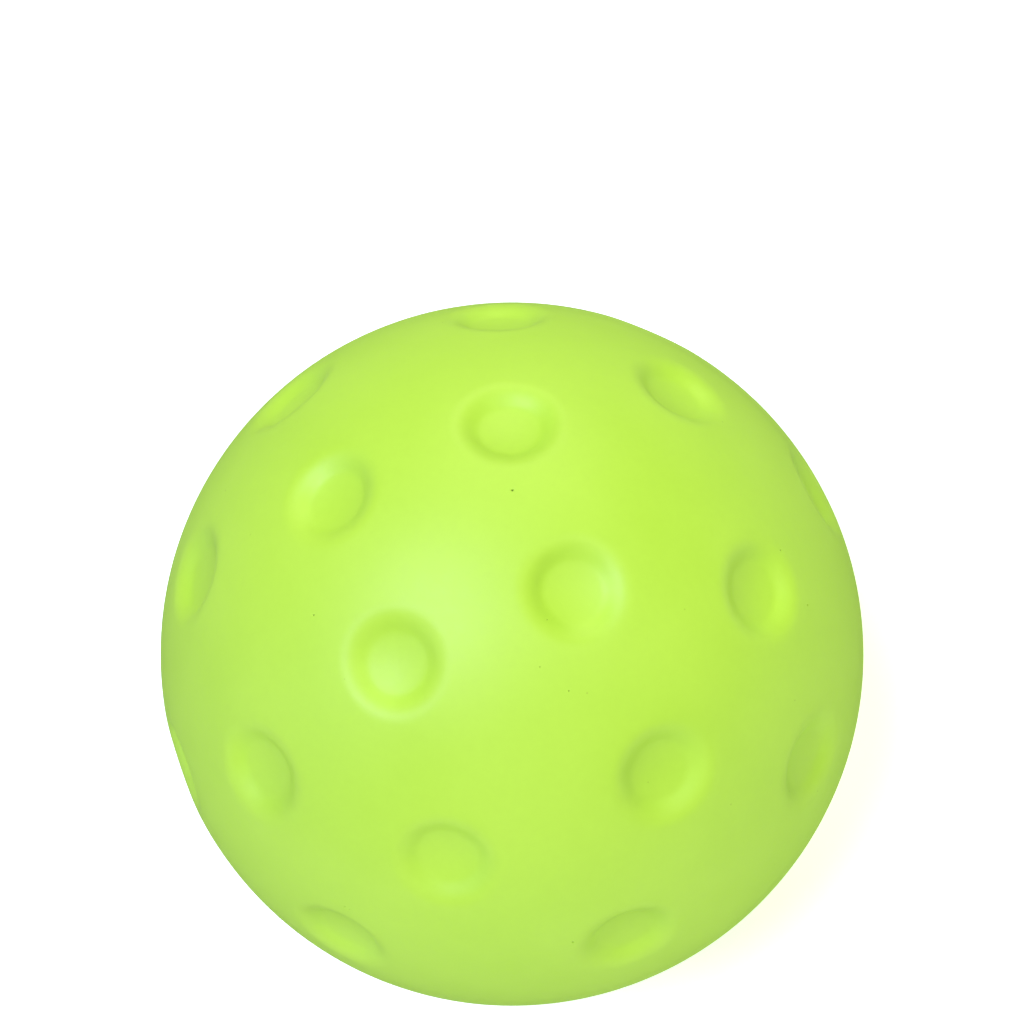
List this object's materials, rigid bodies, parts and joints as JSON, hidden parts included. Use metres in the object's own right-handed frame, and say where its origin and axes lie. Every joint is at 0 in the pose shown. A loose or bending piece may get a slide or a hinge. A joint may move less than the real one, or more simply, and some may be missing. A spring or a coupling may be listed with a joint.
{
  "type": "foam pickleball",
  "caption": "Quiet pickleball: a solid foam ball with a satin lime skin and shallow closed round dimples all over, for practice and noise-limited courts.",
  "frame": {"origin": "the ball's centre, on the mould's parting plane", "axes": "+Z is the ball's pole, square to the mould's parting plane; +X is the azimuth of one of the four dimples round the upper pole"},
  "size_m": [0.074, 0.074, 0.074],
  "materials": {
    "colour_coat": "satin",
    "skin": "matte",
    "foam": "matte"
  },
  "bodies": {
    "root": {"upper_colour_coat": "colour_coat", "lower_colour_coat": "colour_coat", "upper_skin": "skin", "lower_skin": "skin", "foam_core": "foam"}
  },
  "joints": []
}
